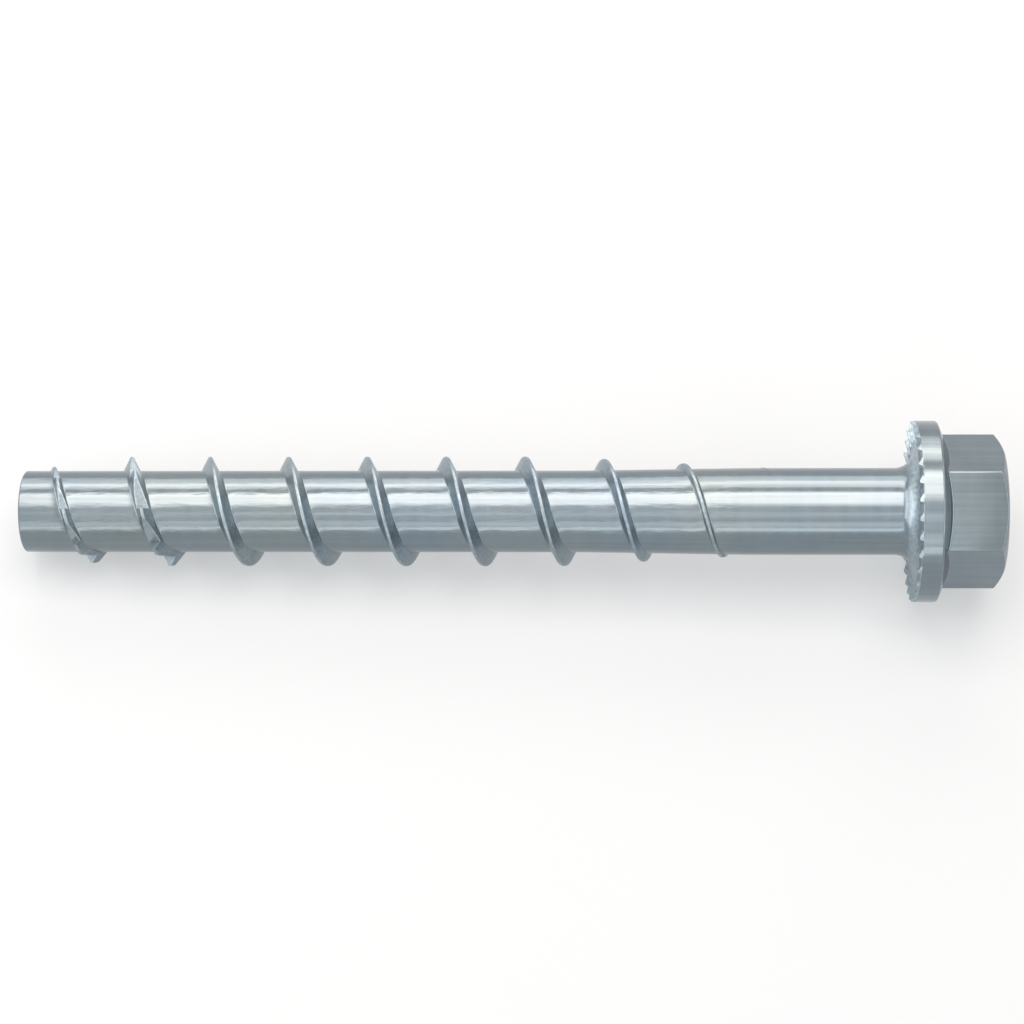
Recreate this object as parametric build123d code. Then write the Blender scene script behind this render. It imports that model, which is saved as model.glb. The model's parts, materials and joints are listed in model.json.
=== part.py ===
from build123d import *
from math import acos, ceil, cos, degrees, radians, tan
import os

# A concrete screw, forged and rolled from one piece of steel: a hexagon head on a round flange
# with locking teeth under it, a plain shank, and a coarse right-hand thread whose first turns
# are cut into saw teeth. Sizes are in millimetres and angles in degrees.
# It is drawn standing on its tip, with its axis along Z, and then laid down as it would come
# to rest on a table: on the rim of its flange and on the thread's crest at both sides of a saw cut.

# Shaft
length_under_head = 100.0
core_diameter = 9.2
shank_step = 0.275
plain_shank_length = 15.7
taper_margin = 2.5
tip_chamfer = 0.15

# Thread
pitch = 8.93
thread_height = 1.6
crest_width = 0.3
flank_angle = 25.0
thread_start_height = 0.55
thread_start_angle = -14.0
run_in_turns = 1.0
run_out_turns = 2.65
sections_per_turn = 12

# Saw teeth on the first turns of the thread
saw_teeth_per_turn = 8
saw_teeth = 16
first_saw_turn = 0.28
saw_floor_share = 0.32
saw_tooth_underneath = 7

# Head
across_flats = 15.0
hexagon_edge_radius = 0.25
head_height = 10.05
hexagon_chamfer_angle = 30.0
hexagon_end_diameter = 14.4
flange_overhang = 1.5
rim_thickness = 2.3
rim_lower_chamfer = 0.15
rim_upper_radius = 0.3
flange_slope = 22.5
head_fillet_radius = 2.3

# Locking teeth under the flange
locking_teeth = 30
locking_tooth_height = 0.4
locking_tooth_inner_height = 0.1
locking_tooth_ramp = 3.6
locking_tooth_crest = 1.7
locking_tooth_back = 0.7
locking_tooth_phase = 0.6
bearing_land_width = 0.75

# What follows from those sizes
core_radius = core_diameter / 2
shank_radius = core_radius + shank_step
thread_radius = core_radius + thread_height
flange_radius = across_flats / 2 / cos(radians(30)) + flange_overhang
flange_face = length_under_head + locking_tooth_height
rim_top = flange_face + rim_thickness
head_end = length_under_head + head_height

thread_end = length_under_head - plain_shank_length
thread_turns = (thread_end - thread_start_height) / pitch
full_turns = thread_turns - run_out_turns
full_thread_end = thread_end - run_out_turns * pitch
taper_start = full_thread_end + taper_margin
taper_end = thread_end - taper_margin

# How far a piece reaches into the one it is fused with
overlap = 0.8
thread_root_radius = core_radius - overlap
thread_end_depth = 0.05


def corner_of(profile, point):
    """The corner of a flat outline that lies nearest to a point."""
    return profile.vertices().sort_by_distance(point)[0]


def make_shaft_and_flange():
    """Turn the outline of the shaft and the flange about the axis."""
    slope_height = flange_radius * tan(radians(flange_slope))
    outline = Polyline(
        (0, 0),
        (core_radius, 0),
        (core_radius, taper_start),
        (shank_radius, taper_end),
        (shank_radius, flange_face),
        (flange_radius, flange_face),
        (flange_radius, rim_top),
        (0, rim_top + slope_height),
        close=True,
    )
    profile = make_face(outline)
    profile = chamfer(corner_of(profile, (core_radius, 0)), tip_chamfer)
    profile = fillet(corner_of(profile, (shank_radius, flange_face)), head_fillet_radius)
    profile = chamfer(corner_of(profile, (flange_radius, flange_face)), rim_lower_chamfer)
    profile = fillet(corner_of(profile, (flange_radius, rim_top)), rim_upper_radius)
    return revolve(Plane.XZ * profile, Axis.Z)


def make_hexagon():
    """The hexagon of the head, with its upper corners turned off to a cone."""
    flats = RegularPolygon(across_flats / 2, 6, major_radius=False, rotation=30)
    flats = fillet(flats.vertices(), hexagon_edge_radius)
    prism = Pos(Z=flange_face + overlap) * extrude(flats, head_end - flange_face - overlap)
    chamfer_drop = (flange_radius - hexagon_end_diameter / 2) * tan(radians(hexagon_chamfer_angle))
    turned_outline = Polyline(
        (0, flange_face),
        (flange_radius, flange_face),
        (flange_radius, head_end - chamfer_drop),
        (hexagon_end_diameter / 2, head_end),
        (0, head_end),
        close=True,
    )
    return prism & revolve(Plane.XZ * make_face(turned_outline), Axis.Z)


def make_locking_tooth():
    """One radial tooth: a ramp that slides as the screw is driven, and a steep back that bites."""
    inner_radius = shank_radius + head_fillet_radius + bearing_land_width
    outer_radius = flange_radius - rim_lower_chamfer / 2
    ramp_top = locking_tooth_ramp
    crest_end = ramp_top + locking_tooth_crest
    back_foot = crest_end + locking_tooth_back

    def section(radius, height):
        def across(angle):
            return radius * radians(angle)

        outline = Polyline(
            (across(0), flange_face),
            (across(ramp_top), flange_face - height),
            (across(crest_end), flange_face - height),
            (across(back_foot), flange_face),
            (across(back_foot), flange_face + overlap),
            (across(0), flange_face + overlap),
            close=True,
        )
        return Pos(X=radius) * (Plane.YZ * make_face(outline))

    inner_section = section(inner_radius, locking_tooth_inner_height)
    outer_section = section(outer_radius, locking_tooth_height)
    return loft([inner_section, outer_section], ruled=True)


def crest_radius(turn):
    """Radius of the thread's crest, counted in turns from where the thread starts."""
    start_radius = core_radius - thread_end_depth
    end_radius = shank_radius - thread_end_depth
    rising = start_radius + (thread_radius - start_radius) * turn / run_in_turns
    fading = end_radius + (thread_radius - end_radius) * (thread_turns - turn) / run_out_turns
    return min(rising, thread_radius, fading)


def on_helix(turn):
    """The place on the thread's helix that is a number of turns from its start."""
    return Pos(Z=thread_start_height + pitch * turn) * Rot(Z=thread_start_angle + 360 * turn)


def thread_section(turn):
    """The ridge of the thread, cut through along the axis."""
    crest = crest_radius(turn)
    half_crest = crest_width / 2
    half_root = half_crest + (crest - thread_root_radius) * tan(radians(flank_angle))
    outline = Polyline(
        (thread_root_radius, -half_root),
        (crest, -half_crest),
        (crest, half_crest),
        (thread_root_radius, half_root),
        close=True,
    )
    return on_helix(turn) * (Plane.XZ * make_face(outline))


def saw_turn(tooth):
    """Where on the thread a saw tooth's step stands, with the teeth counted from 1."""
    return first_saw_turn + (tooth - 1) / saw_teeth_per_turn


def saw_floor_radius(turn):
    """How deep the crest is planed at the foot of a step, as a distance from the axis."""
    return core_radius + saw_floor_share * (crest_radius(turn) - core_radius)


def saw_cut_start(turn):
    """Where the cut that ends in a step at this turn first meets the crest, in a few rounds."""
    start = turn
    for _ in range(4):
        cut_angle = degrees(acos(saw_floor_radius(turn) / crest_radius(start)))
        start = turn - cut_angle / 360
    return start


def make_saw_cut(turn):
    """A block that planes the crest down, deeper and deeper, to a step at this turn."""
    block = Box(
        2 * thread_height,
        thread_radius,
        pitch / 2,
        align=(Align.MIN, Align.MAX, Align.CENTER),
    )
    return on_helix(turn) * Pos(X=saw_floor_radius(turn)) * block


def make_ridge(first_turn, last_turn):
    """One stretch of the thread, lofted through sections along its helix."""
    steps = ceil((last_turn - first_turn) * sections_per_turn)
    step_turn = (last_turn - first_turn) / steps
    return loft([thread_section(first_turn + step_turn * step) for step in range(steps + 1)])


def crest_point(turn):
    """The point on the crest of the thread that is a number of turns from its start."""
    return (on_helix(turn) * Pos(X=crest_radius(turn))).position


def lay_down(screw):
    """Lay the screw down, head towards +X, on its rim and on the crests beside a saw cut."""
    step_turn = saw_turn(saw_tooth_underneath)
    crest_before = crest_point(saw_cut_start(step_turn))
    crest_after = crest_point(step_turn)
    underneath = Vector(crest_before.X + crest_after.X, crest_before.Y + crest_after.Y).normalized()
    rim_point = underneath * flange_radius + Vector(0, 0, flange_face + rim_lower_chamfer)
    upwards = (rim_point - crest_before).cross(crest_after - crest_before)
    sideways = upwards.cross(Vector(0, 0, 1))
    table = Plane(origin=rim_point, x_dir=sideways.cross(upwards), z_dir=upwards)
    lying = table.to_local_coords(screw)
    box = lying.bounding_box()
    return Pos(-box.center().X, -box.center().Y, -box.min.Z) * lying


locking_tooth = make_locking_tooth()
tooth_spacing = 360 / locking_teeth
locking_ring = [
    Rot(Z=locking_tooth_phase + tooth_spacing * index) * locking_tooth
    for index in range(locking_teeth)
]
ridges = [
    make_ridge(0, run_in_turns),
    make_ridge(run_in_turns, full_turns),
    make_ridge(full_turns, thread_turns),
]
saw_cuts = [make_saw_cut(saw_turn(tooth + 1)) for tooth in range(saw_teeth)]

screw = make_shaft_and_flange() + make_hexagon()
for ridge in ridges:
    screw = screw + ridge
screw = screw - saw_cuts + locking_ring
concrete_screw = lay_down(screw)
concrete_screw.label = "concrete_screw"

os.makedirs("parts", exist_ok=True)
export_step(concrete_screw, "parts/concrete_screw.step")
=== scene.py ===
import json
from math import atan2, ceil, cos, pi, radians, sin, tan

import bmesh
import bpy
from mathutils import Matrix, Vector


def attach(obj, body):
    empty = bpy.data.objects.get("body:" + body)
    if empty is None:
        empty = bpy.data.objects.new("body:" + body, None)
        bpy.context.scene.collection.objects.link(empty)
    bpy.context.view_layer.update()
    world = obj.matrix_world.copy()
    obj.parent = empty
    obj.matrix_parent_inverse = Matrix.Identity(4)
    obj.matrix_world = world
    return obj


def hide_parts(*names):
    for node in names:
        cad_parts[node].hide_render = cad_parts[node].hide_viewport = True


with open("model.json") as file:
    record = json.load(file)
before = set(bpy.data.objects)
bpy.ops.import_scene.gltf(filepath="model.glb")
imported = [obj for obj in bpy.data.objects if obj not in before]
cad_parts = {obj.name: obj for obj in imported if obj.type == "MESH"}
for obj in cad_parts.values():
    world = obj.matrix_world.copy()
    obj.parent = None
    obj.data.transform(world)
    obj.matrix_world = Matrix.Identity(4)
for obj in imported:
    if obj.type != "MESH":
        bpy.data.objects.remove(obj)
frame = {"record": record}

bl_info = {
    "name": "Concrete screw",
    "version": (1, 0, 0),
    "blender": (4, 5, 0),
    "location": "3D View > Sidebar > Screw",
    "description": "A zinc-plated concrete screw with a saw-toothed thread and a flanged hexagon head",
    "category": "Object",
}

# Lengths are in metres. Each piece is modelled standing on its tip with its axis along Z, and is
# then laid down where the frame has the screw.
mm = 0.001
# Points nearer to each other than this are one point
MERGE_DISTANCE = 0.0005 * mm
# Points nearer to a cut than this lie on it
CUT_DISTANCE = MERGE_DISTANCE / 10
# Faces that meet at more than this are shaded with a crisp edge
CRISP_EDGE = radians(28)
HEXAGON_CRISP_EDGE = radians(35)


class ScrewSizes(bpy.types.PropertyGroup):
    """Sizes of the shaft and how the screw lies"""

    overall_length: bpy.props.FloatProperty(
        name="Overall length", description="From the tip to the end of the hexagon",
        default=110.05 * mm, unit="LENGTH", precision=5)
    core_radius: bpy.props.FloatProperty(
        name="Core radius", description="Radius of the shaft between the turns of the thread",
        default=4.6 * mm, unit="LENGTH", precision=5)
    shank_radius: bpy.props.FloatProperty(
        name="Shank radius", description="Radius of the plain shaft under the head",
        default=4.875 * mm, unit="LENGTH", precision=5)
    taper_start: bpy.props.FloatProperty(
        name="Taper start", description="Height at which the core starts to widen",
        default=63.135 * mm, unit="LENGTH", precision=5)
    taper_end: bpy.props.FloatProperty(
        name="Taper end", description="Height at which the shaft has the shank's radius",
        default=81.8 * mm, unit="LENGTH", precision=5)
    thread_piece_end: bpy.props.FloatProperty(
        name="Thread piece end", description="Height on the plain shank where two pieces meet",
        default=86.0 * mm, unit="LENGTH", precision=5)
    tip_chamfer: bpy.props.FloatProperty(
        name="Tip chamfer", description="Size of the broken edge round the tip",
        default=0.15 * mm, unit="LENGTH", precision=5)
    roll: bpy.props.FloatProperty(
        name="Roll", description="Turn about the axis, from a flat that faces straight up",
        default=radians(20.69), subtype="ANGLE")


class ThreadSizes(bpy.types.PropertyGroup):
    """Sizes of the thread and of the saw teeth in it"""

    pitch: bpy.props.FloatProperty(
        name="Pitch", description="How far the thread climbs in one turn",
        default=8.93 * mm, unit="LENGTH", precision=5)
    height: bpy.props.FloatProperty(
        name="Height", description="How far the crest stands out from the core",
        default=1.6 * mm, unit="LENGTH", precision=5)
    crest_width: bpy.props.FloatProperty(
        name="Crest width", description="Width of the narrow land on top of the ridge",
        default=0.3 * mm, unit="LENGTH", precision=5)
    flank_angle: bpy.props.FloatProperty(
        name="Flank angle", description="Lean of each side of the ridge",
        default=radians(25), subtype="ANGLE")
    root_radius: bpy.props.FloatProperty(
        name="Root radius", description="Rounding between the ridge and the core",
        default=0.2 * mm, unit="LENGTH", precision=5)
    start_height: bpy.props.FloatProperty(
        name="Start height", description="Height above the tip at which the thread starts",
        default=0.55 * mm, unit="LENGTH", precision=5)
    start_angle: bpy.props.FloatProperty(
        name="Start angle", description="Angle about the axis at which the thread starts",
        default=radians(-14), subtype="ANGLE")
    end_height: bpy.props.FloatProperty(
        name="End height", description="Height above the tip at which the thread ends",
        default=84.3 * mm, unit="LENGTH", precision=5)
    run_in_turns: bpy.props.FloatProperty(
        name="Run-in", description="Turns over which the thread grows out of the core", default=1.0)
    run_out_turns: bpy.props.FloatProperty(
        name="Run-out", description="Turns over which the thread fades into the shank", default=2.65)
    saw_teeth: bpy.props.IntProperty(
        name="Saw teeth", description="How many saw teeth are cut into the first turns", default=16)
    saw_teeth_per_turn: bpy.props.IntProperty(
        name="Saw teeth per turn", description="How many of them fill one turn", default=8)
    first_saw_turn: bpy.props.FloatProperty(
        name="First saw tooth", description="Turns from the start of the thread to the first step",
        default=0.28)
    saw_floor_share: bpy.props.FloatProperty(
        name="Saw floor", description="Share of the thread's height left at the foot of a step",
        default=0.32, subtype="FACTOR")


class HeadSizes(bpy.types.PropertyGroup):
    """Sizes of the hexagon, the flange and the locking teeth under it"""

    across_flats: bpy.props.FloatProperty(
        name="Across flats", description="Width of the hexagon as its socket measures it",
        default=15.0 * mm, unit="LENGTH", precision=5)
    hexagon_edge_radius: bpy.props.FloatProperty(
        name="Hexagon edge radius", description="Rounding of the hexagon's long edges",
        default=0.25 * mm, unit="LENGTH", precision=5)
    hexagon_end_radius: bpy.props.FloatProperty(
        name="Hexagon end radius", description="Radius of the flat end inside the chamfer",
        default=7.2 * mm, unit="LENGTH", precision=5)
    hexagon_chamfer_angle: bpy.props.FloatProperty(
        name="Chamfer angle", description="Slope of the cone that takes off the hexagon's corners",
        default=radians(30), subtype="ANGLE")
    hexagon_root_radius: bpy.props.FloatProperty(
        name="Hexagon root radius", description="Rounding where the hexagon meets the flange",
        default=0.3 * mm, unit="LENGTH", precision=5)
    flange_radius: bpy.props.FloatProperty(
        name="Flange radius", description="Outer radius of the flange",
        default=10.16 * mm, unit="LENGTH", precision=5)
    flange_face: bpy.props.FloatProperty(
        name="Flange face", description="Height of the flange's underside between its teeth",
        default=100.4 * mm, unit="LENGTH", precision=5)
    rim_thickness: bpy.props.FloatProperty(
        name="Rim thickness", description="Height of the flange's rim",
        default=2.3 * mm, unit="LENGTH", precision=5)
    rim_lower_chamfer: bpy.props.FloatProperty(
        name="Rim lower chamfer", description="Broken edge of the rim beside the locking teeth",
        default=0.15 * mm, unit="LENGTH", precision=5)
    rim_upper_radius: bpy.props.FloatProperty(
        name="Rim upper radius", description="Rounding of the rim's other edge",
        default=0.3 * mm, unit="LENGTH", precision=5)
    flange_slope: bpy.props.FloatProperty(
        name="Flange slope", description="Slope of the flange from its rim up to the hexagon",
        default=radians(22.5), subtype="ANGLE")
    fillet_radius: bpy.props.FloatProperty(
        name="Fillet radius", description="Rounding from the shank into the flange",
        default=2.3 * mm, unit="LENGTH", precision=5)
    locking_teeth: bpy.props.IntProperty(
        name="Locking teeth", description="How many teeth stand under the flange", default=30)
    locking_tooth_height: bpy.props.FloatProperty(
        name="Tooth height", description="Height of a locking tooth at the rim",
        default=0.4 * mm, unit="LENGTH", precision=5)
    locking_tooth_inner_height: bpy.props.FloatProperty(
        name="Tooth inner height", description="Height of a locking tooth at its inner end",
        default=0.1 * mm, unit="LENGTH", precision=5)
    locking_tooth_phase: bpy.props.FloatProperty(
        name="Tooth phase", description="Angle at which the first locking tooth's ramp starts",
        default=radians(0.6), subtype="ANGLE")
    locking_tooth_ramp: bpy.props.FloatProperty(
        name="Tooth ramp", description="Angle taken by a tooth's gentle side",
        default=radians(3.6), subtype="ANGLE")
    locking_tooth_crest: bpy.props.FloatProperty(
        name="Tooth crest", description="Angle taken by a tooth's flat top",
        default=radians(1.7), subtype="ANGLE")
    locking_tooth_back: bpy.props.FloatProperty(
        name="Tooth back", description="Angle taken by a tooth's steep side",
        default=radians(0.7), subtype="ANGLE")
    bearing_land_width: bpy.props.FloatProperty(
        name="Bearing land", description="Width of the flat ring between the fillet and the teeth",
        default=0.75 * mm, unit="LENGTH", precision=5)


class ZincFinish(bpy.types.PropertyGroup):
    """Colour and gloss of the zinc plate"""

    base_color: bpy.props.FloatVectorProperty(
        name="Zinc", description="Colour of the bright zinc plate",
        default=(0.19, 0.23, 0.256), subtype="COLOR", size=3, min=0, max=1)
    roughness: bpy.props.FloatProperty(
        name="Roughness", description="How far the plate blurs what it reflects",
        default=0.2, min=0, max=1, subtype="FACTOR")


class StudioLight(bpy.types.PropertyGroup):
    """The floor and the soft light on the screw"""

    floor_color: bpy.props.FloatVectorProperty(
        name="Floor", description="Colour of the plain pale floor",
        default=(0.715, 0.77, 0.815), subtype="COLOR", size=3, min=0, max=1)
    white_share: bpy.props.FloatProperty(
        name="White share", description="How much of the floor near the screw is seen as plain white",
        default=0.35, min=0, max=1, subtype="FACTOR")
    ambient: bpy.props.FloatProperty(
        name="Ambient", description="Brightness of the room as dull surfaces see it",
        default=0.16, min=0)


def axes_at(place, x_axis, y_axis, z_axis):
    """The matrix that puts the origin at a place and turns its axes to these three."""
    turned = Matrix((x_axis, y_axis, z_axis)).transposed().to_4x4()
    return Matrix.Translation(place) @ turned


def screw_frame():
    """The matrix that lays the upright screw down where the frame has it."""
    sizes = bpy.context.scene.screw_sizes
    mounts = {mount["name"]: mount for mount in frame["record"]["mounts"]}
    axis = Vector(mounts["head_top"]["axis"]).normalized()
    tip = Vector(mounts["head_top"]["pos_m"]) - axis * sizes.overall_length
    side = Vector((0, 1, 0))
    down = side.cross(axis)
    rolled_down = down * cos(sizes.roll) + side * sin(sizes.roll)
    return axes_at(tip, rolled_down, axis.cross(rolled_down), axis)


def finish_piece(bm, name, crisp_edge):
    """Turn a mesh into a piece of the screw, laid down and in its zinc finish."""
    bmesh.ops.recalc_face_normals(bm, faces=bm.faces)
    bmesh.ops.transform(bm, matrix=screw_frame(), verts=bm.verts)
    mesh = bpy.data.meshes.new(name)
    bm.to_mesh(mesh)
    bm.free()
    mesh.shade_smooth()
    mesh.set_sharp_from_angle(angle=crisp_edge)
    mesh.materials.append(zinc_plate())
    piece = bpy.data.objects.new(name, mesh)
    bpy.context.scene.collection.objects.link(piece)
    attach(piece, "root")
    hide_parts("concrete_screw")


def start_chain(bm, outline, angle):
    """A chain of edges through an outline of radii and heights, at an angle about the axis."""
    index_layer = bm.verts.layers.int.new("point")
    verts = []
    for index, (radius, height) in enumerate(outline):
        vert = bm.verts.new((radius * cos(angle), radius * sin(angle), height))
        vert[index_layer] = index
        verts.append(vert)
    edges = [bm.edges.new(pair) for pair in zip(verts, verts[1:])]
    return verts + edges, index_layer


def spin_on(bm, chain, angle, steps, climb=0.0):
    """Turn a chain about the axis, climbing as it turns, and return the chain it ends as."""
    turned = bmesh.ops.spin(
        bm, geom=chain, cent=(0, 0, 0), axis=(0, 0, 1), dvec=(0, 0, climb / steps),
        angle=angle, steps=steps, use_duplicate=False)
    return turned["geom_last"]


def arc(centre, radius, first_angle, last_angle, segments):
    """Points on an arc in the plane of radius and height."""
    points = []
    for step in range(segments + 1):
        angle = first_angle + (last_angle - first_angle) * step / segments
        points.append((centre[0] + radius * cos(angle), centre[1] + radius * sin(angle)))
    return points


def extrude_loop(bm, edges):
    """Extrude a loop of edges in place, and return its new vertices and edges."""
    made = bmesh.ops.extrude_edge_only(bm, edges=edges)["geom"]
    verts = [part for part in made if isinstance(part, bmesh.types.BMVert)]
    loop = [part for part in made if isinstance(part, bmesh.types.BMEdge)]
    return verts, loop


# Thread

# Steps across half of the valley, and round the foot of the ridge
VALLEY_STEPS = 5
ROOT_STEPS = 4
# The rounding at each edge of the land on the crest, and how many times that far in from the edge
# a point keeps the middle of the land flat
CREST_ROUNDING = 0.1 * mm
LAND_HOLD = 1.5
NARROWEST_LAND = 0.0001 * mm
# The most of a ridge's height that each of its two roundings may take
CREST_ROUNDING_SHARE = 0.25
ROOT_ROUNDING_SHARE = 0.8
# One saw tooth about the axis: the angle and the rings of points of the crest that stays, the rings
# of the cut, and the angle of the step at its end
FULL_CREST_ANGLE = radians(10.5)
FULL_CREST_RINGS = 3
SAW_CUT_RINGS = 9
SAW_STEP_ANGLE = radians(0.4)
# The angle before its step that a saw cut can reach over
SAW_CUT_REACH = pi / 3
# Decimals that tell one ring of points from the next, as turns of the thread
TURN_DECIMALS = 5


def base_radius(height):
    """Radius of the shaft under the thread, which widens over a long taper."""
    sizes = bpy.context.scene.screw_sizes
    share = (height - sizes.taper_start) / (sizes.taper_end - sizes.taper_start)
    share = min(max(share, 0.0), 1.0)
    return sizes.core_radius + (sizes.shank_radius - sizes.core_radius) * share


def full_crest_radius(turn):
    """Radius of the crest before the saw teeth are cut, at a number of turns from the start."""
    sizes = bpy.context.scene.screw_sizes
    thread = bpy.context.scene.thread_sizes
    turns = (thread.end_height - thread.start_height) / thread.pitch
    crest = sizes.core_radius + thread.height
    rising = sizes.core_radius + thread.height * turn / thread.run_in_turns
    fading = sizes.shank_radius + (crest - sizes.shank_radius) * (turns - turn) / thread.run_out_turns
    return min(rising, crest, fading)


def crest_radius(turn):
    """Radius of the crest with the saw teeth cut, at a number of turns from the start.

    Each cut is a plane that meets the foot of its step, so the crest follows it as a cosine.
    """
    sizes = bpy.context.scene.screw_sizes
    thread = bpy.context.scene.thread_sizes
    crest = full_crest_radius(turn)
    for tooth in range(thread.saw_teeth):
        step_turn = thread.first_saw_turn + tooth / thread.saw_teeth_per_turn
        before_step = (step_turn - turn) * 2 * pi
        if SAW_STEP_ANGLE / 2 < before_step < SAW_CUT_REACH:
            standing = full_crest_radius(step_turn) - sizes.core_radius
            floor = sizes.core_radius + thread.saw_floor_share * standing
            crest = min(crest, floor / cos(before_step))
    return crest


def half_ridge(base, full_crest, crest):
    """Half of the ridge's outline, from the middle of its crest to the middle of the valley.

    Each point is a distance along the axis from the middle of the ridge, and a radius.
    """
    thread = bpy.context.scene.thread_sizes
    lean = tan(thread.flank_angle)
    standing = max(crest - base, 0.0)
    land = thread.crest_width / 2 + max(full_crest - crest, 0.0) * lean
    foot = land + standing * lean
    rounding = min(CREST_ROUNDING, standing * CREST_ROUNDING_SHARE)
    top = base + standing
    root_radius = min(thread.root_radius, standing * ROOT_ROUNDING_SHARE)
    turn = pi / 2 - thread.flank_angle
    tangent = root_radius * tan(turn / 2)
    centre = (foot + tangent, base + root_radius)
    # The land and its rounded edge, down to where the flank is straight
    points = [
        (0.0, top),
        (max(land - LAND_HOLD * rounding, NARROWEST_LAND), top),
        (land - rounding, top),
        (land + rounding * lean / 2, top - rounding / 2),
        (land + 2 * rounding * lean, top - 2 * rounding),
    ]
    points += arc(centre, root_radius, pi + thread.flank_angle, 3 * pi / 2, ROOT_STEPS)
    root_end = foot + tangent
    for step in range(1, VALLEY_STEPS + 1):
        share = step / VALLEY_STEPS
        points.append((root_end + (thread.pitch / 2 - root_end) * share, base))
    return points


def ridge_outline(turn):
    """The outline of one pitch of the thread, cut along the axis, as radii and heights."""
    thread = bpy.context.scene.thread_sizes
    middle = thread.start_height + thread.pitch * turn
    base = base_radius(middle)
    half = half_ridge(base, full_crest_radius(turn), crest_radius(turn))
    whole = [(-along, radius) for along, radius in reversed(half[1:])] + half
    outline = []
    for along, radius in whole:
        taper = base_radius(middle + along) - base
        outline.append((radius + taper, middle + along))
    return outline


def cut_across(bm, height, clear_above):
    """Cut the mesh level at a height, and return the edges round the hole."""
    bmesh.ops.bisect_plane(
        bm, geom=bm.verts[:] + bm.edges[:] + bm.faces[:], dist=CUT_DISTANCE,
        plane_co=(0, 0, height), plane_no=(0, 0, 1),
        clear_outer=clear_above, clear_inner=not clear_above)
    return [
        edge for edge in bm.edges
        if edge.is_boundary and all(abs(vert.co.z - height) < MERGE_DISTANCE for vert in edge.verts)
    ]


class SCREW_OT_build_threaded_shaft(bpy.types.Operator):
    """Build the shaft: its tip, its saw-toothed thread and the start of the plain shank"""

    bl_idname = "screw.build_threaded_shaft"
    bl_label = "Threaded shaft"

    def execute(self, context):
        sizes = context.scene.screw_sizes
        thread = context.scene.thread_sizes
        per_turn = thread.saw_teeth_per_turn
        reach = thread.pitch / 2 + thread.start_height
        parts_before = ceil((thread.first_saw_turn + reach / thread.pitch) * per_turn)
        first_turn = thread.first_saw_turn - parts_before / per_turn
        end_turn = (sizes.thread_piece_end + thread.pitch / 2 - thread.start_height) / thread.pitch
        parts = ceil((end_turn - first_turn) * per_turn)
        cut_angle = 2 * pi / per_turn - FULL_CREST_ANGLE - SAW_STEP_ANGLE
        stretches = [
            (FULL_CREST_ANGLE, FULL_CREST_RINGS),
            (cut_angle, SAW_CUT_RINGS),
            (SAW_STEP_ANGLE, 1),
        ]

        # The thread is turned in parts as long as one saw tooth, from below the tip to past the
        # end of this piece
        bm = bmesh.new()
        first_outline = ridge_outline(first_turn)
        first_angle = thread.start_angle + 2 * pi * first_turn
        chain, index_layer = start_chain(bm, first_outline, first_angle)
        for _ in range(parts):
            for angle, rings in stretches:
                chain = spin_on(bm, chain, angle, rings, thread.pitch * angle / (2 * pi))

        # Each ring of points takes the outline that the ridge has at its own turn
        outlines = {}
        for vert in bm.verts:
            index = vert[index_layer]
            climbed = vert.co.z - first_outline[index][1]
            turn = round(first_turn + climbed / thread.pitch, TURN_DECIMALS)
            if turn not in outlines:
                outlines[turn] = ridge_outline(turn)
            radius, height = outlines[turn][index]
            angle = thread.start_angle + 2 * pi * turn
            vert.co = (radius * cos(angle), radius * sin(angle), height)
        bmesh.ops.remove_doubles(bm, verts=bm.verts, dist=MERGE_DISTANCE)

        # Both ends are cut level and closed, and the tip's edge is broken
        shank_edges = cut_across(bm, sizes.thread_piece_end, clear_above=True)
        bmesh.ops.holes_fill(bm, edges=shank_edges)
        tip_edges = cut_across(bm, sizes.tip_chamfer, clear_above=False)
        tip_verts, tip_edges = extrude_loop(bm, tip_edges)
        narrowed = 1 - sizes.tip_chamfer / sizes.core_radius
        bmesh.ops.scale(bm, vec=(narrowed, narrowed, 0), verts=tip_verts)
        bmesh.ops.holes_fill(bm, edges=tip_edges)
        finish_piece(bm, "threaded_shaft", CRISP_EDGE)
        return {"FINISHED"}


# Flange

# Steps round the fillet and the rim's edge, and from a locking tooth's inner end to its outer one
FILLET_STEPS = 14
RIM_STEPS = 5
TOOTH_STEPS = 4
# Rings of points up a tooth's ramp, and across the gap to the next tooth
TOOTH_RAMP_RINGS = 2
TOOTH_GAP_RINGS = 3
# The rounding of a tooth's outer end, and where its middle lies, as shares of it
TOOTH_END_ROUNDING = 0.06 * mm
TOOTH_END_MIDDLE = (0.6, 0.3)
# A narrow strip that keeps the edge beside it crisp
EDGE_STRIP = 0.03 * mm
# Where the flange's cone ends, inside the hexagon
SKIRT_INNER_RADIUS = 6.9 * mm


def skirt_height(radius):
    """Height of the flange's cone at a radius."""
    head = bpy.context.scene.head_sizes
    rim_end = head.flange_face + head.rim_thickness
    return rim_end + (head.flange_radius - radius) * tan(head.flange_slope)


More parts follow.
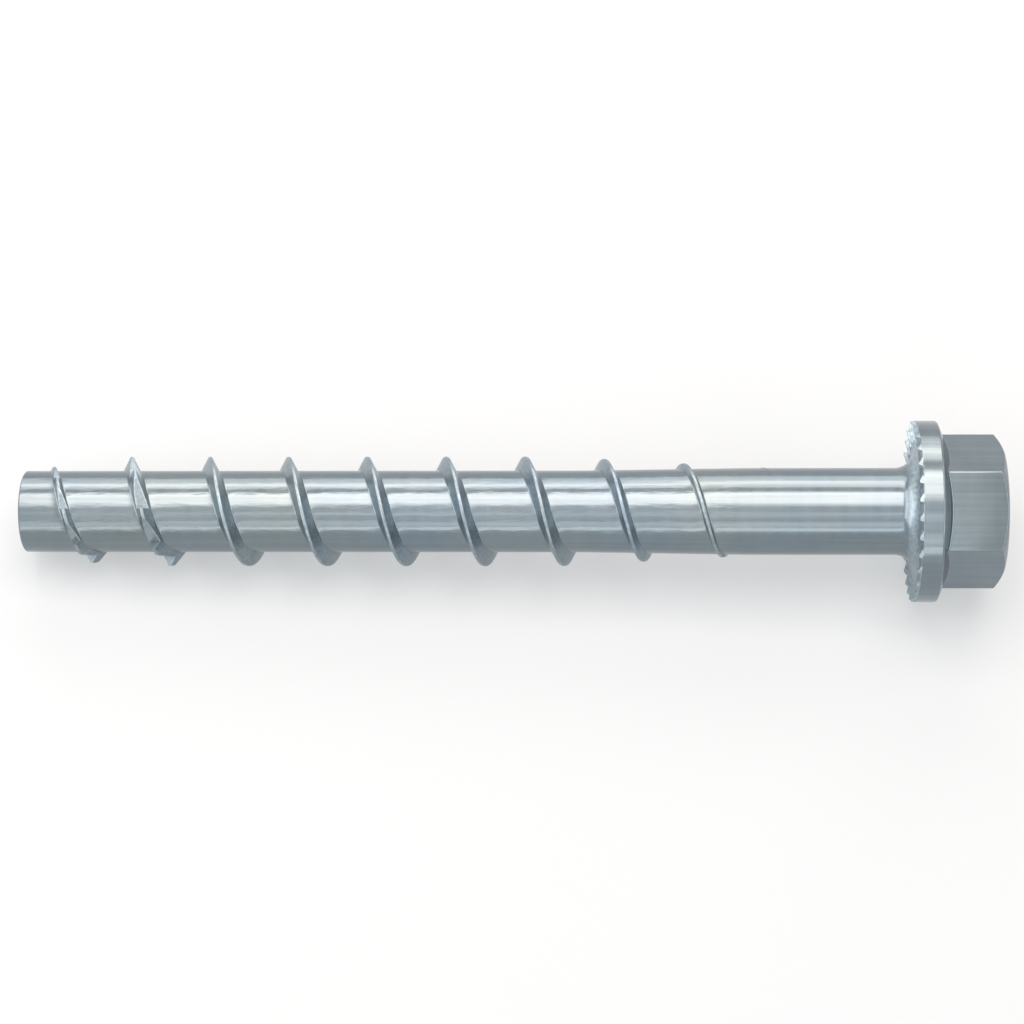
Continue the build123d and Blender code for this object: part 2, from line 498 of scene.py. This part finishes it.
def flange_outline():
    """The flange's outline as radius, height and the share of a locking tooth's height it carries."""
    sizes = bpy.context.scene.screw_sizes
    head = bpy.context.scene.head_sizes
    face = head.flange_face
    rim = head.flange_radius
    edge = TOOTH_END_ROUNDING
    fillet_centre = (sizes.shank_radius + head.fillet_radius, face - head.fillet_radius)
    turn = pi / 2 - head.flange_slope
    tangent = head.rim_upper_radius * tan(turn / 2)
    rim_centre = (rim - head.rim_upper_radius, face + head.rim_thickness - tangent)
    tooth_start = fillet_centre[0] + head.bearing_land_width
    tooth_end = rim - edge - EDGE_STRIP
    middle_out, middle_up = TOOTH_END_MIDDLE
    inner_share = head.locking_tooth_inner_height / head.locking_tooth_height

    plain = [(sizes.shank_radius, sizes.thread_piece_end)]
    plain += arc(fillet_centre, head.fillet_radius, pi, pi / 2, FILLET_STEPS)
    plain.append((tooth_start - EDGE_STRIP, face))
    outline = [(radius, height, 0.0) for radius, height in plain]
    for step in range(TOOTH_STEPS + 1):
        share = step / TOOTH_STEPS
        radius = tooth_start + (tooth_end - tooth_start) * share
        outline.append((radius, face, inner_share + (1 - inner_share) * share))
    outline.append((tooth_end + middle_out * edge, face + middle_up * edge, 1.0))
    outline.append((tooth_end + edge, face + edge, 1.0))
    outline.append((rim, face + head.rim_lower_chamfer, 0.0))
    outline.append((rim, face + head.rim_lower_chamfer + EDGE_STRIP, 0.0))
    for radius, height in arc(rim_centre, head.rim_upper_radius, 0, turn, RIM_STEPS):
        outline.append((radius, height, 0.0))
    outline.append((SKIRT_INNER_RADIUS, skirt_height(SKIRT_INNER_RADIUS), 0.0))
    return outline


def tooth_rise(angle):
    """Share of its full height that the ring of locking teeth has at an angle about the axis."""
    head = bpy.context.scene.head_sizes
    spacing = 2 * pi / head.locking_teeth
    across = (angle - head.locking_tooth_phase) % spacing
    crest_end = head.locking_tooth_ramp + head.locking_tooth_crest
    up = across / head.locking_tooth_ramp
    down = 1 - (across - crest_end) / head.locking_tooth_back
    return max(min(up, 1.0, down), 0.0)


class SCREW_OT_build_toothed_flange(bpy.types.Operator):
    """Build the plain shank and the flange: its fillet, locking teeth, rim and cone"""

    bl_idname = "screw.build_toothed_flange"
    bl_label = "Toothed flange"

    def execute(self, context):
        head = context.scene.head_sizes
        outline = flange_outline()
        tooth = head.locking_tooth_ramp + head.locking_tooth_crest + head.locking_tooth_back
        stretches = [
            (head.locking_tooth_ramp, TOOTH_RAMP_RINGS),
            (head.locking_tooth_crest, 1),
            (head.locking_tooth_back, 1),
            (2 * pi / head.locking_teeth - tooth, TOOTH_GAP_RINGS),
        ]

        bm = bmesh.new()
        turned_outline = [(radius, height) for radius, height, _ in outline]
        chain, index_layer = start_chain(bm, turned_outline, head.locking_tooth_phase)
        for _ in range(head.locking_teeth):
            for angle, rings in stretches:
                chain = spin_on(bm, chain, angle, rings)
        for vert in bm.verts:
            share = outline[vert[index_layer]][2]
            rise = tooth_rise(atan2(vert.co.y, vert.co.x))
            vert.co.z -= head.locking_tooth_height * share * rise
        bmesh.ops.remove_doubles(bm, verts=bm.verts, dist=MERGE_DISTANCE)
        bmesh.ops.holes_fill(bm, edges=[edge for edge in bm.edges if edge.is_boundary])
        finish_piece(bm, "toothed_flange", CRISP_EDGE)
        return {"FINISHED"}


# Hexagon

# Cuts across each flat, so that its foot follows the cone, and steps round the corners, the foot
# and the chamfer's edges
FLAT_CUTS = 23
CORNER_STEPS = 6
HEXAGON_ROOT_STEPS = 5
CHAMFER_STEPS = 2
# How far the hexagon's foot goes on inside the flange, and how far its rounding does
HIDDEN_DEPTH = 0.5 * mm
HIDDEN_ROOT = 0.05 * mm
CHAMFER_ROUNDING = 0.07 * mm
# Points up to this share of a half flat from its middle belong to the flat
FLAT_REACH = 1.001


def hexagon_place(point):
    """Where a point of the hexagon's outline belongs on its rounded form, and which way is out."""
    head = bpy.context.scene.head_sizes
    flat_distance = head.across_flats / 2
    rounding = head.hexagon_edge_radius
    half_flat = (flat_distance - rounding) * tan(pi / 6)
    for side in range(6):
        outward = Vector((cos(pi / 3 * side), sin(pi / 3 * side), 0))
        along = Vector((-outward.y, outward.x, 0))
        from_middle = point.dot(along)
        beside_flat = point.dot(outward) > flat_distance - MERGE_DISTANCE
        if beside_flat and abs(from_middle) <= half_flat * FLAT_REACH:
            return outward * flat_distance + along * from_middle, outward
    corner = round(atan2(point.y, point.x) / (pi / 3) - 0.5) + 0.5
    towards = Vector((cos(pi / 3 * corner), sin(pi / 3 * corner), 0))
    centre = towards * (flat_distance - rounding) / cos(pi / 6)
    outward = (point - centre).normalized()
    return centre + outward * rounding, outward


class SCREW_OT_build_hexagon_head(bpy.types.Operator):
    """Build the hexagon: rounded edges, a fillet into the flange and a turned chamfer"""

    bl_idname = "screw.build_hexagon_head"
    bl_label = "Hexagon head"

    def execute(self, context):
        sizes = context.scene.screw_sizes
        head = context.scene.head_sizes
        corner_distance = head.across_flats / 2 / cos(pi / 6)

        # The outline, with rounded corners, lies inside the flange's cone
        bm = bmesh.new()
        place_layer = bm.verts.layers.int.new("place")
        bmesh.ops.create_circle(bm, cap_ends=True, radius=corner_distance, segments=6)
        bmesh.ops.bevel(
            bm, geom=bm.verts[:], offset=head.hexagon_edge_radius * tan(pi / 6),
            offset_type="OFFSET", segments=CORNER_STEPS, profile=0.5, affect="VERTICES", material=-1)
        flats = [edge for edge in bm.edges if edge.calc_length() > head.across_flats / 4]
        bmesh.ops.subdivide_edges(bm, edges=flats, cuts=FLAT_CUTS)
        places = [hexagon_place(vert.co) for vert in bm.verts]
        for index, vert in enumerate(bm.verts):
            vert[place_layer] = index
            vert.co.z = skirt_height(corner_distance) - HIDDEN_DEPTH

        # The rounding at its foot rises from the cone to the flats
        slope = head.flange_slope
        root = head.hexagon_root_radius
        tangent = root * tan((pi / 2 - slope) / 2)
        root_foot = root * (1 - sin(slope))
        verts, loop = extrude_loop(bm, bm.edges[:])
        for vert in verts:
            place, outward = places[vert[place_layer]]
            vert.co = place + outward * (root_foot + HIDDEN_ROOT)
            vert.co.z = skirt_height(vert.co.xy.length) - HIDDEN_ROOT
        for step in range(HEXAGON_ROOT_STEPS + 1):
            verts, loop = extrude_loop(bm, loop)
            angle = slope + (pi / 2 - slope) * step / HEXAGON_ROOT_STEPS
            out = root * (1 - sin(angle))
            rise = tangent - root * cos(angle) + out * tan(slope)
            for vert in verts:
                place, outward = places[vert[place_layer]]
                vert.co = place + outward * out
                vert.co.z = skirt_height(vert.co.xy.length) + rise
        # The flats end at a turned chamfer round the flat end
        verts, wall_edges = extrude_loop(bm, loop)
        for vert in verts:
            place, _ = places[vert[place_layer]]
            drop = (place.xy.length - head.hexagon_end_radius) * tan(head.hexagon_chamfer_angle)
            vert.co = place
            vert.co.z = sizes.overall_length - drop
        verts, end_edges = extrude_loop(bm, wall_edges)
        for vert in verts:
            place, _ = places[vert[place_layer]]
            vert.co = place.normalized() * head.hexagon_end_radius
            vert.co.z = sizes.overall_length
        bmesh.ops.holes_fill(bm, edges=end_edges)
        bmesh.ops.bevel(
            bm, geom=wall_edges + end_edges, offset=CHAMFER_ROUNDING, offset_type="OFFSET",
            segments=CHAMFER_STEPS, profile=0.5, affect="EDGES", material=-1)
        finish_piece(bm, "hexagon_head", HEXAGON_CRISP_EDGE)
        return {"FINISHED"}


# Finish

# Each noise in the zinc, in waves a metre along, across and up from the screw, and its detail
STREAKS = ((40, 2200, 2200), 3.0)
MOTTLING = ((900, 250, 250), 4.0)
TINT = ((110, 110, 110), 2.0)
GLINT_GRAIN = ((2500, 2500, 2500), 3.0)
WAVES = ((400, 1500, 1500), 3.0)
# The stretch that most of a noise lies in
NOISE_LOW = 0.3
NOISE_HIGH = 0.7
# What the zinc's red, green and blue are multiplied by in its cooler and warmer places
COOLER = (0.96, 0.98, 1.02)
WARMER = (1.04, 1.03, 0.98)
# The least and most that its brightness is multiplied by for streaks and for mottling, and its
# roughness for mottling
STREAK_TONE = (0.92, 1.06)
MOTTLE_TONE = (0.97, 1.03)
MOTTLE_ROUGHNESS = (0.9, 1.1)
# How much paler the thread's ridge and the toothed face of the flange are painted, as painted light,
# how much rougher they are, and the least and most of that painted light within its grain, as glints
RIDGE_PAINTED_LIGHT = 0.6
FACE_PAINTED_LIGHT = 1.2
RIDGE_ROUGHNESS = 0.15
FACE_ROUGHNESS = 0.25
PAINTED_GLINT_RANGE = (0.2, 0.9)
# The ridge starts at one height above the shaft and is fully the ridge at the other
RIDGE_FOOT = 0.04 * mm
RIDGE_FULL = 0.2 * mm
# The toothed face starts at one distance before the flange's underside, is fully the face at the
# other, and ends a little past the underside
FACE_START = 1.2 * mm
FACE_FULL = 0.5 * mm
FACE_MARGIN = 0.02 * mm
# How much the waves of the rolled length count beside the streaks, and how far they take to fade
WAVE_STRENGTH = 5.0
WAVE_FADE = 2 * mm
RELIEF_STRENGTH = 0.25
RELIEF_HEIGHT = 0.02 * mm


def add_node(tree, kind, place, **settings):
    """Add a shader node and set its own settings."""
    node = tree.nodes.new(kind)
    node.location = place
    for name, value in settings.items():
        setattr(node, name, value)
    return node


def arithmetic(tree, operation, first, second, place):
    """A sum, product or comparison of a node's output with another output or a number."""
    node = add_node(tree, "ShaderNodeMath", place, operation=operation)
    tree.links.new(first, node.inputs[0])
    if isinstance(second, float):
        node.inputs[1].default_value = second
    else:
        tree.links.new(second, node.inputs[1])
    return node.outputs["Value"]


def ramp(tree, value, start, end, low, high, place):
    """Map a stretch of a value to a stretch from low to high."""
    node = add_node(tree, "ShaderNodeMapRange", place)
    node.inputs["From Min"].default_value = start
    node.inputs["From Max"].default_value = end
    node.inputs["To Min"].default_value = low
    node.inputs["To Max"].default_value = high
    tree.links.new(value, node.inputs["Value"])
    return node.outputs["Result"]


def noise(tree, vector, pattern, place):
    """A noise with its own scale in each direction."""
    scale, detail = pattern
    stretched = add_node(tree, "ShaderNodeMapping", place)
    stretched.inputs["Scale"].default_value = scale
    tree.links.new(vector, stretched.inputs["Vector"])
    node = add_node(tree, "ShaderNodeTexNoise", (place[0] + 200, place[1]))
    node.inputs["Scale"].default_value = 1.0
    node.inputs["Detail"].default_value = detail
    tree.links.new(stretched.outputs["Vector"], node.inputs["Vector"])
    return node.outputs["Fac"]


def spread(tree, value, low, high, place):
    """Map the stretch that most of a noise lies in to a new low and high."""
    return ramp(tree, value, NOISE_LOW, NOISE_HIGH, low, high, place)


def on_ridge_and_face(tree, ridge, face, on_ridge, on_face, place):
    """A value on the thread's ridge, another on the toothed face, and none elsewhere."""
    left, top = place
    ridge_part = arithmetic(tree, "MULTIPLY", ridge, on_ridge, (left, top))
    face_part = arithmetic(tree, "MULTIPLY", face, on_face, (left, top - 150))
    return arithmetic(tree, "ADD", ridge_part, face_part, (left + 150, top))


def place_on_screw(tree):
    """Where a point lies on the screw, with X counted along its axis from the tip."""
    laid = screw_frame()
    lean = laid.to_3x3().col[2].angle(Vector((1, 0, 0)))
    tip_place = laid.translation.x * cos(lean) + laid.translation.z * sin(lean)
    axis_height = laid.translation.z * cos(lean) - laid.translation.x * sin(lean)
    coordinates = add_node(tree, "ShaderNodeTexCoord", (-1800, 0))
    level = add_node(tree, "ShaderNodeMapping", (-1600, 0))
    level.inputs["Rotation"].default_value = (0, lean, 0)
    level.inputs["Location"].default_value = (-tip_place, 0, -axis_height)
    tree.links.new(coordinates.outputs["Object"], level.inputs["Vector"])
    return level.outputs["Vector"]


def distance_from_axis(tree, on_screw):
    """How far a point is from the screw's axis."""
    across = add_node(tree, "ShaderNodeMapping", (-1400, -500))
    across.inputs["Scale"].default_value = (0, 1, 1)
    tree.links.new(on_screw, across.inputs["Vector"])
    length = add_node(tree, "ShaderNodeVectorMath", (-1200, -500), operation="LENGTH")
    tree.links.new(across.outputs["Vector"], length.inputs[0])
    return length.outputs["Value"]


def thread_ridge(tree, on_screw, along):
    """Whether a point is on the ridge of the thread."""
    sizes = bpy.context.scene.screw_sizes
    base = ramp(
        tree, along, sizes.taper_start, sizes.taper_end, sizes.core_radius, sizes.shank_radius,
        (-1200, -700))
    from_axis = distance_from_axis(tree, on_screw)
    standing = arithmetic(tree, "SUBTRACT", from_axis, base, (-1000, -500))
    ridge = ramp(tree, standing, RIDGE_FOOT, RIDGE_FULL, 0.0, 1.0, (-850, -500))
    before_head = arithmetic(tree, "LESS_THAN", along, sizes.thread_piece_end, (-1000, -700))
    return arithmetic(tree, "MULTIPLY", ridge, before_head, (-850, -700))


def toothed_face(tree, along):
    """Whether a point is on the underside of the flange."""
    flange_face = bpy.context.scene.head_sizes.flange_face
    face = ramp(
        tree, along, flange_face - FACE_START, flange_face - FACE_FULL, 0.0, 1.0, (-1000, -900))
    before_rim = arithmetic(tree, "LESS_THAN", along, flange_face + FACE_MARGIN, (-1000, -1100))
    return arithmetic(tree, "MULTIPLY", face, before_rim, (-850, -900))


def zinc_color(tree, on_screw, streak, mottle, ridge, face):
    """The zinc's colour: cooler and warmer, streaked and mottled, with painted light in grainy glints
    on the ridge and face.
    """
    color = bpy.context.scene.zinc_finish.base_color
    tint = noise(tree, on_screw, TINT, (-1200, -300))
    warm = add_node(tree, "ShaderNodeMix", (-500, 300), data_type="RGBA")
    for socket, changes in (("A", COOLER), ("B", WARMER)):
        changed = [part * change for part, change in zip(color, changes)]
        warm.inputs[socket].default_value = (*changed, 1)
    tree.links.new(spread(tree, tint, 0.0, 1.0, (-750, 300)), warm.inputs["Factor"])

    streak_tone = spread(tree, streak, *STREAK_TONE, (-750, 100))
    mottle_tone = spread(tree, mottle, *MOTTLE_TONE, (-750, -100))
    tone = arithmetic(tree, "MULTIPLY", streak_tone, mottle_tone, (-500, 0))
    glint_grain = noise(tree, on_screw, GLINT_GRAIN, (-1200, 600))
    # Painted light: the thread's ridge and the toothed face are made paler, in grainy painted glints
    painted_light = on_ridge_and_face(tree, ridge, face, RIDGE_PAINTED_LIGHT, FACE_PAINTED_LIGHT, (-750, 650))
    painted_glints = arithmetic(
        tree, "MULTIPLY", painted_light, spread(tree, glint_grain, *PAINTED_GLINT_RANGE, (-750, 800)), (-450, 700))
    painted_lift = arithmetic(tree, "ADD", painted_glints, 1.0, (-300, 600))
    tone = arithmetic(tree, "MULTIPLY", tone, painted_lift, (-300, 0))

    toned = add_node(tree, "ShaderNodeMix", (-150, 200), data_type="RGBA", blend_type="MULTIPLY")
    toned.inputs["Factor"].default_value = 1.0
    tree.links.new(warm.outputs["Result"], toned.inputs["A"])
    tree.links.new(tone, toned.inputs["B"])
    return toned.outputs["Result"]


def zinc_roughness(tree, mottle, ridge, face):
    """The zinc's roughness: mottled, and more where the steel was worked."""
    roughness = bpy.context.scene.zinc_finish.roughness
    least, most = MOTTLE_ROUGHNESS
    rough = spread(tree, mottle, roughness * least, roughness * most, (-750, -300))
    rougher = on_ridge_and_face(tree, ridge, face, RIDGE_ROUGHNESS, FACE_ROUGHNESS, (-750, -550))
    return arithmetic(tree, "ADD", rough, rougher, (-450, -400))


def zinc_relief(tree, on_screw, along, streak):
    """The zinc's relief: the streaks, and the waviness that rolling leaves."""
    taper_end = bpy.context.scene.screw_sizes.taper_end
    rolled = ramp(
        tree, along, taper_end - WAVE_FADE, taper_end, WAVE_STRENGTH, 0.0, (-1000, -1300))
    waves = noise(tree, on_screw, WAVES, (-1200, -1500))
    waves = arithmetic(tree, "MULTIPLY", waves, rolled, (-750, -1000))
    relief = arithmetic(tree, "ADD", streak, waves, (-450, -800))
    bump = add_node(tree, "ShaderNodeBump", (-150, -400))
    bump.inputs["Strength"].default_value = RELIEF_STRENGTH
    bump.inputs["Distance"].default_value = RELIEF_HEIGHT
    tree.links.new(relief, bump.inputs["Height"])
    return bump.outputs["Normal"]


def zinc_plate():
    """Bright zinc plate, with drawing streaks along the screw, duller where it was worked, and painted
    paler there as painted light.
    """
    existing = bpy.data.materials.get("zinc_plate")
    if existing:
        return existing
    material = bpy.data.materials.new("zinc_plate")
    material.use_nodes = True
    tree = material.node_tree
    shader = tree.nodes["Principled BSDF"]
    shader.inputs["Metallic"].default_value = 1.0

    on_screw = place_on_screw(tree)
    separate = add_node(tree, "ShaderNodeSeparateXYZ", (-1400, -700))
    tree.links.new(on_screw, separate.inputs["Vector"])
    along = separate.outputs["X"]
    streak = noise(tree, on_screw, STREAKS, (-1200, 300))
    mottle = noise(tree, on_screw, MOTTLING, (-1200, 0))
    ridge = thread_ridge(tree, on_screw, along)
    face = toothed_face(tree, along)
    color = zinc_color(tree, on_screw, streak, mottle, ridge, face)
    tree.links.new(color, shader.inputs["Base Color"])
    tree.links.new(zinc_roughness(tree, mottle, ridge, face), shader.inputs["Roughness"])
    tree.links.new(zinc_relief(tree, on_screw, along, streak), shader.inputs["Normal"])
    return material


# Stage

FLOOR_HALF_WIDTH = 3.0
FLOOR_ROUGHNESS = 0.9
# The floor is seen whiter from the nearer of these distances to the farther, up to this share
NEAR_FLOOR = 0.12
FAR_FLOOR = 0.36
FAR_WHITE_SHARE = 0.95
LIGHT_TARGET_HEIGHT = 8 * mm
LIGHT_DISTANCE = 0.45
SIDE_LIGHT_DISTANCE = 0.6
# Colours of the lights, and of the room as dull surfaces see it
WARM = (1.0, 0.86, 0.77)
NEUTRAL = (1.0, 0.94, 0.89)
COOL = (0.86, 0.95, 1.0)

# Long lights over the screw, each with the angles it spans, counted from straight up towards the
# front, its length along the screw, its brightness and its colour.
LONG_LIGHTS = {
    "low back softbox": (-86, -66, 0.5, 1.5, NEUTRAL),
    "back softbox": (-66, -55, 0.42, 3.8, WARM),
    "high back softbox": (-55, -46, 0.42, 2.3, WARM),
    "overhead strip": (-31, -24, 0.41, 5.0, WARM),
    "overhead softbox": (-24, 0, 0.41, 3.6, WARM),
    "near overhead strip": (0, 6, 0.41, 2.1, WARM),
    "near front softbox": (6, 24, 0.41, 0.45, NEUTRAL),
    "front strip": (24, 32, 0.36, 1.2, NEUTRAL),
    "front softbox": (32, 44, 0.36, 0.5, NEUTRAL),
    "middle front softbox": (48, 62, 0.4, 1.1, NEUTRAL),
    "low front strip": (66, 74, 0.4, 2.1, NEUTRAL),
}
# Soft lights at the two ends, each with its direction and how high it stands as angles, its
# width, its height and its brightness.
END_LIGHTS = {
    "low tip side softbox": (180, 12, 0.8, 0.12, 4.0),
    "tip side softbox": (180, 28, 0.9, 0.15, 1.8),
    "high tip side softbox": (180, 47, 0.8, 0.18, 2.4),
    "head side softbox": (0, 32, 0.9, 0.22, 2.0),
}


def add_softbox(name, place, target, size, brightness, color):
    """A soft rectangular light at a place, turned towards a target."""
    light = bpy.data.lights.new(name, "AREA")
    light.shape = "RECTANGLE"
    light.size, light.size_y = size
    light.energy = brightness * pi * size[0] * size[1]
    light.color = color
    softbox = bpy.data.objects.new(name, light)
    softbox.location = place
    softbox.rotation_euler = (target - place).to_track_quat("-Z", "Y").to_euler()
    softbox.visible_camera = False
    bpy.context.scene.collection.objects.link(softbox)


def add_lights():
    """Put up the long lights and the lights at the two ends."""
    target = Vector((0, 0, LIGHT_TARGET_HEIGHT))
    for name, (first, last, length, brightness, color) in LONG_LIGHTS.items():
        middle = radians((first + last) / 2)
        width = 2 * LIGHT_DISTANCE * tan(radians(last - first) / 2)
        place = target + Vector((0, -sin(middle), cos(middle))) * LIGHT_DISTANCE
        add_softbox(name, place, target, (length, width), brightness, color)
    for name, (direction, raised, width, height, brightness) in END_LIGHTS.items():
        level = Vector((cos(radians(direction)), sin(radians(direction)), 0))
        away = level * cos(radians(raised)) + Vector((0, 0, sin(radians(raised))))
        place = target + away * SIDE_LIGHT_DISTANCE
        add_softbox(name, place, target, (width, height), brightness, NEUTRAL)


def seen_directly(tree):
    """Whether a ray comes from the camera, a reflection or glass, as a node's output."""
    path = add_node(tree, "ShaderNodeLightPath", (-800, 300))
    seen = path.outputs["Is Camera Ray"]
    for index, kind in enumerate(("Is Glossy Ray", "Is Transmission Ray")):
        seen = arithmetic(tree, "MAXIMUM", seen, path.outputs[kind], (-600 + 200 * index, 300))
    return seen


def mix_in_white(tree, own_look, share, white_kind, output):
    """Mix a share of plain white into a surface's or a room's own look."""
    white = add_node(tree, white_kind, (0, -300))
    white.inputs["Color"].default_value = (1, 1, 1, 1)
    white.inputs["Strength"].default_value = 1.0
    mix = add_node(tree, "ShaderNodeMixShader", (300, 0))
    tree.links.new(share, mix.inputs["Fac"])
    tree.links.new(own_look, mix.inputs[1])
    tree.links.new(white.outputs[0], mix.inputs[2])
    tree.links.new(mix.outputs["Shader"], tree.nodes[output].inputs["Surface"])


def make_room():
    """A white room, in which the light that reaches dull surfaces is softer."""
    world = bpy.data.worlds.new("room")
    bpy.context.scene.world = world
    world.use_nodes = True
    tree = world.node_tree
    soft = tree.nodes["Background"]
    soft.inputs["Color"].default_value = (*COOL, 1)
    soft.inputs["Strength"].default_value = bpy.context.scene.studio_light.ambient
    mix_in_white(
        tree, soft.outputs["Background"], seen_directly(tree), "ShaderNodeBackground",
        "World Output")


def floor_material():
    """A pale dull floor that carries the shadow, seen as plain white farther away."""
    studio = bpy.context.scene.studio_light
    material = bpy.data.materials.new("floor")
    material.use_nodes = True
    tree = material.node_tree
    shader = tree.nodes["Principled BSDF"]
    shader.inputs["Base Color"].default_value = (*studio.floor_color, 1)
    shader.inputs["Roughness"].default_value = FLOOR_ROUGHNESS
    shader.inputs["Specular IOR Level"].default_value = 0.0
    coordinates = add_node(tree, "ShaderNodeTexCoord", (-800, 600))
    distance = add_node(tree, "ShaderNodeVectorMath", (-600, 600), operation="LENGTH")
    tree.links.new(coordinates.outputs["Object"], distance.inputs[0])
    share = ramp(
        tree, distance.outputs["Value"], NEAR_FLOOR, FAR_FLOOR, studio.white_share,
        FAR_WHITE_SHARE, (-400, 600))
    seen_white = arithmetic(tree, "MULTIPLY", share, seen_directly(tree), (-150, 400))
    mix_in_white(
        tree, shader.outputs["BSDF"], seen_white, "ShaderNodeEmission", "Material Output")
    return material


# The camera's distance from the screw's axis, its place along it from the tip and across it, its
# turn towards the tip, and its lens in millimetres for a picture of this width
CAMERA_DISTANCE = 302.0 * mm
CAMERA_ALONG_SCREW = 68.35 * mm
CAMERA_BELOW_AXIS = 0.07 * mm
CAMERA_TURN = radians(2.484)
CAMERA_LENS = 94.15
CAMERA_PICTURE_WIDTH = 36.0
CAMERA_CLIP_START = 10 * mm


def place_camera():
    """A camera over one flat of the hexagon, nearer to the head and turned a little to the tip."""
    laid = screw_frame()
    downwards, across, axis = [Vector(laid.col[index][:3]) for index in range(3)]
    place = laid.translation + axis * CAMERA_ALONG_SCREW
    place -= downwards * CAMERA_DISTANCE + across * CAMERA_BELOW_AXIS
    right = axis * cos(CAMERA_TURN) + downwards * sin(CAMERA_TURN)
    data = bpy.data.cameras.new("camera")
    data.sensor_width = CAMERA_PICTURE_WIDTH
    data.lens = CAMERA_LENS
    data.clip_start = CAMERA_CLIP_START
    camera = bpy.data.objects.new("camera", data)
    bpy.context.scene.collection.objects.link(camera)
    camera.matrix_world = axes_at(place, right, across, right.cross(across))
    bpy.context.scene.camera = camera


class SCREW_OT_set_stage(bpy.types.Operator):
    """Put a pale floor under the screw, soft studio light over it, and a camera"""

    bl_idname = "screw.set_stage"
    bl_label = "Stage"

    def execute(self, context):
        scene = context.scene
        bm = bmesh.new()
        bmesh.ops.create_grid(bm, x_segments=1, y_segments=1, size=FLOOR_HALF_WIDTH)
        mesh = bpy.data.meshes.new("floor")
        bm.to_mesh(mesh)
        bm.free()
        mesh.materials.append(floor_material())
        floor = bpy.data.objects.new("floor", mesh)
        scene.collection.objects.link(floor)
        add_lights()
        make_room()
        place_camera()
        scene.view_settings.view_transform = "Standard"
        return {"FINISHED"}


class VIEW3D_PT_screw(bpy.types.Panel):
    """The steps that build the screw and its stage, in order"""

    bl_label = "Concrete screw"
    bl_idname = "VIEW3D_PT_screw"
    bl_space_type = "VIEW_3D"
    bl_region_type = "UI"
    bl_category = "Screw"

    def draw(self, context):
        for operator in OPERATORS:
            self.layout.operator(operator.bl_idname)


OPERATORS = [
    SCREW_OT_build_threaded_shaft,
    SCREW_OT_build_toothed_flange,
    SCREW_OT_build_hexagon_head,
    SCREW_OT_set_stage,
]
PROPERTY_GROUPS = {
    "screw_sizes": ScrewSizes,
    "thread_sizes": ThreadSizes,
    "head_sizes": HeadSizes,
    "zinc_finish": ZincFinish,
    "studio_light": StudioLight,
}


def register():
    """Register the sizes and colours, the operators and the panel."""
    for name, group in PROPERTY_GROUPS.items():
        bpy.utils.register_class(group)
        setattr(bpy.types.Scene, name, bpy.props.PointerProperty(type=group))
    for operator in OPERATORS:
        bpy.utils.register_class(operator)
    bpy.utils.register_class(VIEW3D_PT_screw)


def unregister():
    """Take back what register did."""
    bpy.utils.unregister_class(VIEW3D_PT_screw)
    for operator in reversed(OPERATORS):
        bpy.utils.unregister_class(operator)
    for name, group in PROPERTY_GROUPS.items():
        delattr(bpy.types.Scene, name)
        bpy.utils.unregister_class(group)


def main():
    """Build the screw and its stage in the frame."""
    register()
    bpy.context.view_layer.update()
    bpy.ops.screw.build_threaded_shaft()
    bpy.ops.screw.build_toothed_flange()
    bpy.ops.screw.build_hexagon_head()
    bpy.ops.screw.set_stage()
    bpy.context.view_layer.update()


if __name__ == "__main__":
    main()
